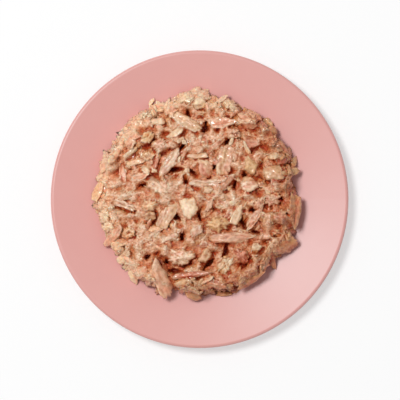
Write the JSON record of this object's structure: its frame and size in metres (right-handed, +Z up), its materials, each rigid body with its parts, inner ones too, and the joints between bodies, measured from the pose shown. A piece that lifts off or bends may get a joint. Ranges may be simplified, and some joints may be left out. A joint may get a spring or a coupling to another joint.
{
  "type": "saucer of flaked wet food",
  "caption": "Round pink saucer with a wide sloping rim, holding a low heap of flaked cooked fish and meat.",
  "frame": {"origin": "under the saucer's centre, on the plane its foot ring stands on", "axes": "+Z up along the saucer's own axis; +X and +Y level, +Y towards the bulge of the heap's edge"},
  "size_m": [0.15, 0.15, 0.0245],
  "materials": {
    "glaze": "satin pink glaze on stoneware",
    "food": "moist flaked cooked fish and meat, pink and tan"
  },
  "bodies": {
    "root": {"saucer": "glaze", "food_heap": "food"}
  },
  "joints": []
}
